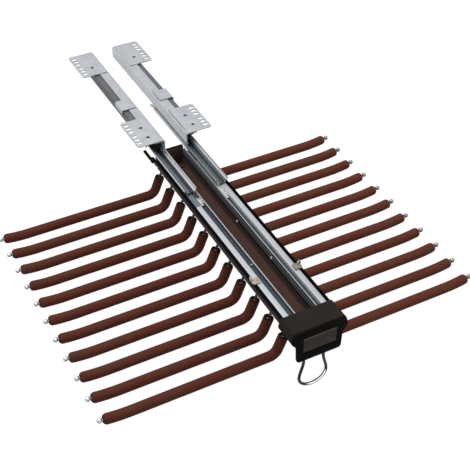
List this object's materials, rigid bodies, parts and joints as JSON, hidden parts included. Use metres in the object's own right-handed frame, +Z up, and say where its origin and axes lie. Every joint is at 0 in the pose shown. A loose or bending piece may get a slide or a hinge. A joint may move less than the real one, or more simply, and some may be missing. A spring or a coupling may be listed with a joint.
{
  "type": "pull out trouser rack",
  "caption": "Pull out trouser rack for the underside of a shelf: two slides on screw brackets carry a long channel with rows of sleeved arms to both sides and a wire pull loop in front.",
  "frame": {"origin": "in the plane of the shelf's underside, midway between the two brackets, at their front edge", "axes": "+X to the right seen from the front, +Y to the back of the wardrobe, +Z up"},
  "size_m": [0.558, 0.6995, 0.1408],
  "materials": {
    "zinc_plate": "zinc plated, satin",
    "dark_rail": "dark, satin",
    "rail_steel": "bright drawn steel",
    "cage_plastic": "satin",
    "carrier_brown": "dark brown powder coat, satin",
    "black_plastic": "fine grain, matte",
    "lever_plastic": "satin",
    "label_grey": "matte",
    "loop_wire": "polished, dark",
    "bright_steel": "polished",
    "sleeve_rubber": "matte, soft touch"
  },
  "bodies": {
    "shelf_units": {"bracket_left": "zinc_plate", "outer_rail_left": "dark_rail", "bracket_right": "zinc_plate", "outer_rail_right": "dark_rail"},
    "rack": {"carrier_profile": "carrier_brown", "clamp_bar": "black_plastic", "rear_end_cap": "black_plastic", "inner_rail_left": "rail_steel", "rail_rivet_left": "bright_steel", "inner_rail_right": "rail_steel", "rail_rivet_right": "bright_steel", "clamp_screw_1": "bright_steel", "clamp_screw_2": "bright_steel", "clamp_screw_3": "bright_steel", "damper_body": "black_plastic", "front_cap": "black_plastic", "label_insert": "label_grey", "pull_loop": "loop_wire", "arm_rod_01": "bright_steel", "sleeve_left_01": "sleeve_rubber", "sleeve_right_01": "sleeve_rubber", "arm_rod_02": "bright_steel", "sleeve_left_02": "sleeve_rubber", "sleeve_right_02": "sleeve_rubber", "arm_rod_03": "bright_steel", "sleeve_left_03": "sleeve_rubber", "sleeve_right_03": "sleeve_rubber", "arm_rod_04": "bright_steel", "sleeve_left_04": "sleeve_rubber", "sleeve_right_04": "sleeve_rubber", "arm_rod_05": "bright_steel", "sleeve_left_05": "sleeve_rubber", "sleeve_right_05": "sleeve_rubber", "arm_rod_06": "bright_steel", "sleeve_left_06": "sleeve_rubber", "sleeve_right_06": "sleeve_rubber", "arm_rod_07": "bright_steel", "sleeve_left_07": "sleeve_rubber", "sleeve_right_07": "sleeve_rubber", "arm_rod_08": "bright_steel", "sleeve_left_08": "sleeve_rubber", "sleeve_right_08": "sleeve_rubber", "arm_rod_09": "bright_steel", "sleeve_left_09": "sleeve_rubber", "sleeve_right_09": "sleeve_rubber", "arm_rod_10": "bright_steel", "sleeve_left_10": "sleeve_rubber", "sleeve_right_10": "sleeve_rubber", "arm_rod_11": "bright_steel", "sleeve_left_11": "sleeve_rubber", "sleeve_right_11": "sleeve_rubber"},
    "middle_left": {"middle_rail_left": "rail_steel"},
    "outer_cage_left": {"outer_ball_cage_left": "cage_plastic"},
    "inner_cage_left": {"inner_ball_cage_left": "cage_plastic"},
    "lever_left": {"release_lever_left": "lever_plastic"},
    "middle_right": {"middle_rail_right": "rail_steel"},
    "outer_cage_right": {"outer_ball_cage_right": "cage_plastic"},
    "inner_cage_right": {"inner_ball_cage_right": "cage_plastic"},
    "lever_right": {"release_lever_right": "lever_plastic"},
    "damper_plunger": {"damper_rod": "bright_steel"}
  },
  "joints": [
    {"name": "rack_slide", "type": "slide", "parent": "shelf_units", "child": "rack", "axis": [0, 1, 0], "range_m": [0, 0.377]},
    {"name": "middle_left_slide", "type": "slide", "parent": "shelf_units", "child": "middle_left", "axis": [0, 1, 0], "range_m": [0, 0.101]},
    {"name": "outer_cage_left_slide", "type": "slide", "parent": "shelf_units", "child": "outer_cage_left", "axis": [0, 1, 0], "range_m": [0, 0.0505]},
    {"name": "inner_cage_left_slide", "type": "slide", "parent": "shelf_units", "child": "inner_cage_left", "axis": [0, 1, 0], "range_m": [0, 0.239]},
    {"name": "middle_right_slide", "type": "slide", "parent": "shelf_units", "child": "middle_right", "axis": [0, 1, 0], "range_m": [0, 0.101]},
    {"name": "outer_cage_right_slide", "type": "slide", "parent": "shelf_units", "child": "outer_cage_right", "axis": [0, 1, 0], "range_m": [0, 0.0505]},
    {"name": "inner_cage_right_slide", "type": "slide", "parent": "shelf_units", "child": "inner_cage_right", "axis": [0, 1, 0], "range_m": [0, 0.239]},
    {"name": "lever_turn_left", "type": "hinge", "parent": "rack", "child": "lever_left", "pos_m": [-0.02802, -0.30449, -0.0286], "axis": [0, 0, 1], "range_deg": [0, 25], "stiffness_Nm_per_rad": 0.02},
    {"name": "lever_turn_right", "type": "hinge", "parent": "rack", "child": "lever_right", "pos_m": [0.02802, -0.30449, -0.0286], "axis": [0, 0, -1], "range_deg": [0, 25], "stiffness_Nm_per_rad": 0.02},
    {"name": "damper_rod_slide", "type": "slide", "parent": "rack", "child": "damper_plunger", "axis": [0, 1, 0], "range_m": [0, 0.012]}
  ],
  "couplings": [
    {"joint": "middle_left_slide", "follows": "rack_slide", "ratio": 0.2679},
    {"joint": "outer_cage_left_slide", "follows": "rack_slide", "ratio": 0.13395},
    {"joint": "inner_cage_left_slide", "follows": "rack_slide", "ratio": 0.63395},
    {"joint": "middle_right_slide", "follows": "rack_slide", "ratio": 0.2679},
    {"joint": "outer_cage_right_slide", "follows": "rack_slide", "ratio": 0.13395},
    {"joint": "inner_cage_right_slide", "follows": "rack_slide", "ratio": 0.63395}
  ]
}
